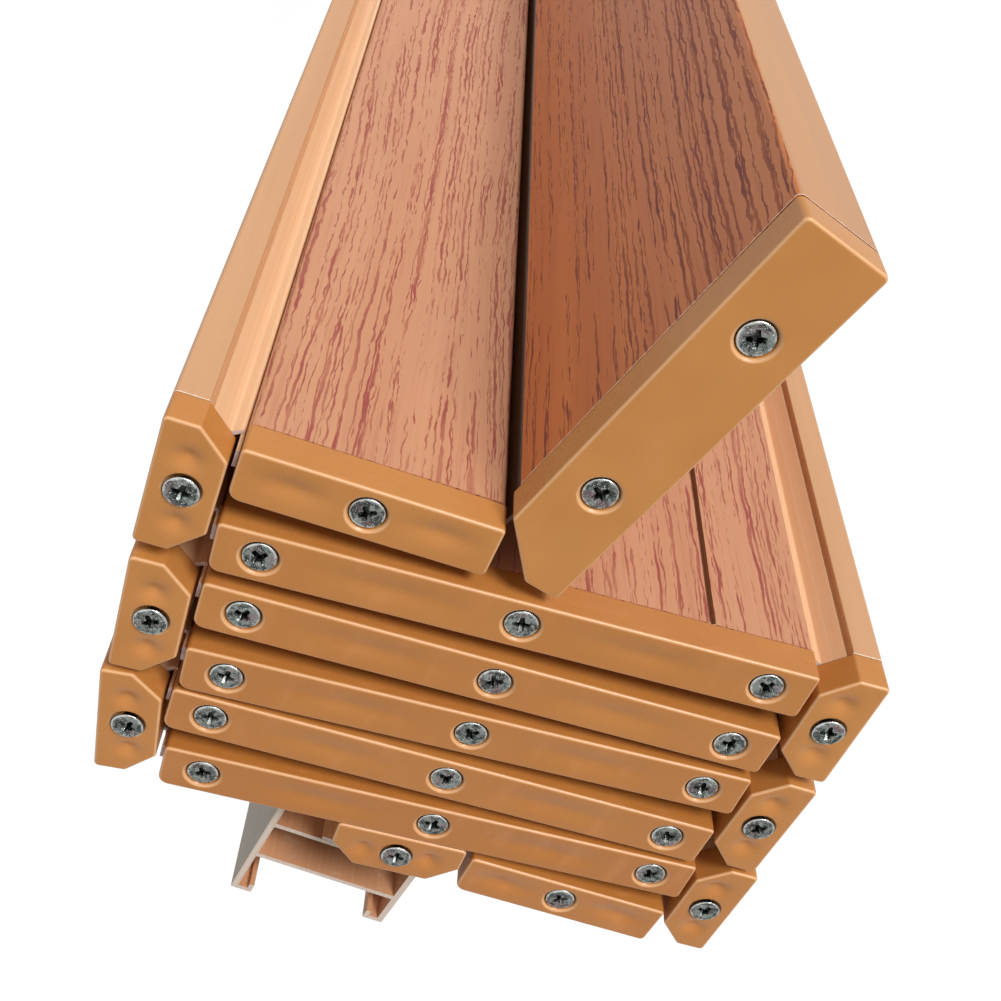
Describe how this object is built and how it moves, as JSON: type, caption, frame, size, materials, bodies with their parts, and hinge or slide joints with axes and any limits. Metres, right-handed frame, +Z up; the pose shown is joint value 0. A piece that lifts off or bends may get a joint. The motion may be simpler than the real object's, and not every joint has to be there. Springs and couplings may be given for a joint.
{
  "type": "accordion folding door",
  "caption": "Upright folding door of wide leaves and narrow chamfered slats on soft hinge strips, folded against its wall channel, with a flat lead post.",
  "frame": {"origin": "middle of the inner web's back face, at half the door's height", "axes": "+Z up along the profiles, +X away from the wall into the opening, +Y toward the left leg of the channel"},
  "size_m": [0.2075, 0.1585, 2.0014],
  "materials": {
    "channel_plastic": "satin grey brown extruded plastic",
    "slat_plastic": "satin tan extruded plastic",
    "leaf_film": "extruded plastic in pinkish tan wood print film",
    "post_film": "extruded plastic in brown orange wood print film",
    "cap_plastic": "semi gloss tan moulded plastic",
    "screw_steel": "zinc plated steel",
    "soft_strip": "soft plastic, satin"
  },
  "bodies": {
    "wall": {"wall_channel": "channel_plastic"},
    "slat_1": {"slat_1": "slat_plastic", "slat_1_caps": "cap_plastic", "slat_1_screws": "screw_steel", "slat_1_strips": "soft_strip"},
    "leaf_1": {"leaf_1": "leaf_film", "leaf_1_caps": "cap_plastic", "leaf_1_screws": "screw_steel"},
    "slat_2": {"slat_2": "slat_plastic", "slat_2_caps": "cap_plastic", "slat_2_screws": "screw_steel", "slat_2_strips": "soft_strip"},
    "leaf_2": {"leaf_2": "leaf_film", "leaf_2_caps": "cap_plastic", "leaf_2_screws": "screw_steel"},
    "slat_3": {"slat_3": "slat_plastic", "slat_3_caps": "cap_plastic", "slat_3_screws": "screw_steel", "slat_3_strips": "soft_strip"},
    "leaf_3": {"leaf_3": "leaf_film", "leaf_3_caps": "cap_plastic", "leaf_3_screws": "screw_steel"},
    "slat_4": {"slat_4": "slat_plastic", "slat_4_caps": "cap_plastic", "slat_4_screws": "screw_steel", "slat_4_strips": "soft_strip"},
    "leaf_4": {"leaf_4": "leaf_film", "leaf_4_caps": "cap_plastic", "leaf_4_screws": "screw_steel"},
    "slat_5": {"slat_5": "slat_plastic", "slat_5_caps": "cap_plastic", "slat_5_screws": "screw_steel", "slat_5_strips": "soft_strip"},
    "leaf_5": {"leaf_5": "leaf_film", "leaf_5_caps": "cap_plastic", "leaf_5_screws": "screw_steel"},
    "slat_6": {"slat_6": "slat_plastic", "slat_6_caps": "cap_plastic", "slat_6_screws": "screw_steel", "slat_6_strips": "soft_strip"},
    "leaf_6": {"leaf_6": "leaf_film", "leaf_6_caps": "cap_plastic", "leaf_6_screws": "screw_steel"},
    "slat_7": {"slat_7": "slat_plastic", "slat_7_caps": "cap_plastic", "slat_7_screws": "screw_steel", "slat_7_strips": "soft_strip"},
    "leaf_7": {"leaf_7": "leaf_film", "leaf_7_caps": "cap_plastic", "leaf_7_screws": "screw_steel"},
    "lead_post": {"lead_post": "post_film", "lead_post_caps": "cap_plastic", "lead_post_screws": "screw_steel", "lead_post_strip": "soft_strip"}
  },
  "joints": [
    {"name": "slat_1_hinge", "type": "hinge", "parent": "wall", "child": "slat_1", "pos_m": [0.0169, 0.0022, 0], "axis": [0, 0, 1], "range_deg": [0, 36.7], "deforming": ["slat_1_strips"]},
    {"name": "leaf_1_hinge", "type": "hinge", "parent": "slat_1", "child": "leaf_1", "pos_m": [0.02837, -0.02271, 0], "axis": [0, 0, 1], "range_deg": [0, 4.32]},
    {"name": "slat_2_hinge", "type": "hinge", "parent": "leaf_1", "child": "slat_2", "pos_m": [0.03234, -0.07095, 0], "axis": [0, 0, 1], "range_deg": [-47.12, 0], "deforming": ["slat_2_strips"]},
    {"name": "leaf_2_hinge", "type": "hinge", "parent": "slat_2", "child": "leaf_2", "pos_m": [0.04924, -0.06914, 0], "axis": [0, 0, 1], "range_deg": [-47.72, 0]},
    {"name": "slat_3_hinge", "type": "hinge", "parent": "leaf_2", "child": "slat_3", "pos_m": [0.03166, 0.04835, 0], "axis": [0, 0, 1], "range_deg": [0, 40.42], "deforming": ["slat_3_strips"]},
    {"name": "leaf_3_hinge", "type": "hinge", "parent": "slat_3", "child": "leaf_3", "pos_m": [0.0482, 0.05229, 0], "axis": [0, 0, 1], "range_deg": [0, 51.82]},
    {"name": "slat_4_hinge", "type": "hinge", "parent": "leaf_3", "child": "slat_4", "pos_m": [0.06245, -0.06565, 0], "axis": [0, 0, 1], "range_deg": [-44.22, 0], "deforming": ["slat_4_strips"]},
    {"name": "leaf_4_hinge", "type": "hinge", "parent": "slat_4", "child": "leaf_4", "pos_m": [0.07936, -0.06393, 0], "axis": [0, 0, 1], "range_deg": [-48.42, 0]},
    {"name": "slat_5_hinge", "type": "hinge", "parent": "leaf_4", "child": "slat_5", "pos_m": [0.06096, 0.05344, 0], "axis": [0, 0, 1], "range_deg": [0, 45.82], "deforming": ["slat_5_strips"]},
    {"name": "leaf_5_hinge", "type": "hinge", "parent": "slat_5", "child": "leaf_5", "pos_m": [0.07778, 0.05592, 0], "axis": [0, 0, 1], "range_deg": [0, 46.02]},
    {"name": "slat_6_hinge", "type": "hinge", "parent": "leaf_5", "child": "slat_6", "pos_m": [0.09367, -0.06181, 0], "axis": [0, 0, 1], "range_deg": [-46.02, 0], "deforming": ["slat_6_strips"]},
    {"name": "leaf_6_hinge", "type": "hinge", "parent": "slat_6", "child": "leaf_6", "pos_m": [0.11049, -0.05933, 0], "axis": [0, 0, 1], "range_deg": [-45.32, 0]},
    {"name": "slat_7_hinge", "type": "hinge", "parent": "leaf_6", "child": "slat_7", "pos_m": [0.09312, 0.05819, 0], "axis": [0, 0, 1], "range_deg": [0, 47.62], "deforming": ["slat_7_strips"]},
    {"name": "leaf_7_hinge", "type": "hinge", "parent": "slat_7", "child": "leaf_7", "pos_m": [0.11002, 0.06, 0], "axis": [0, 0, 1], "range_deg": [0, 45.42]},
    {"name": "lead_post_hinge", "type": "hinge", "parent": "leaf_7", "child": "lead_post", "pos_m": [0.12112, 0.01277, 0], "axis": [0, 0, 1], "range_deg": [-29.32, 0], "deforming": ["lead_post_strip"]}
  ],
  "couplings": [
    {"joint": "leaf_1_hinge", "follows": "slat_1_hinge", "ratio": 0.1172},
    {"joint": "slat_2_hinge", "follows": "slat_1_hinge", "ratio": -1.2834},
    {"joint": "leaf_2_hinge", "follows": "slat_1_hinge", "ratio": -1.2997},
    {"joint": "slat_3_hinge", "follows": "slat_1_hinge", "ratio": 1.1008},
    {"joint": "leaf_3_hinge", "follows": "slat_1_hinge", "ratio": 1.4114},
    {"joint": "slat_4_hinge", "follows": "slat_1_hinge", "ratio": -1.2044},
    {"joint": "leaf_4_hinge", "follows": "slat_1_hinge", "ratio": -1.3188},
    {"joint": "slat_5_hinge", "follows": "slat_1_hinge", "ratio": 1.248},
    {"joint": "leaf_5_hinge", "follows": "slat_1_hinge", "ratio": 1.2534},
    {"joint": "slat_6_hinge", "follows": "slat_1_hinge", "ratio": -1.2534},
    {"joint": "leaf_6_hinge", "follows": "slat_1_hinge", "ratio": -1.2343},
    {"joint": "slat_7_hinge", "follows": "slat_1_hinge", "ratio": 1.297},
    {"joint": "leaf_7_hinge", "follows": "slat_1_hinge", "ratio": 1.2371},
    {"joint": "lead_post_hinge", "follows": "slat_1_hinge", "ratio": -0.7984}
  ]
}
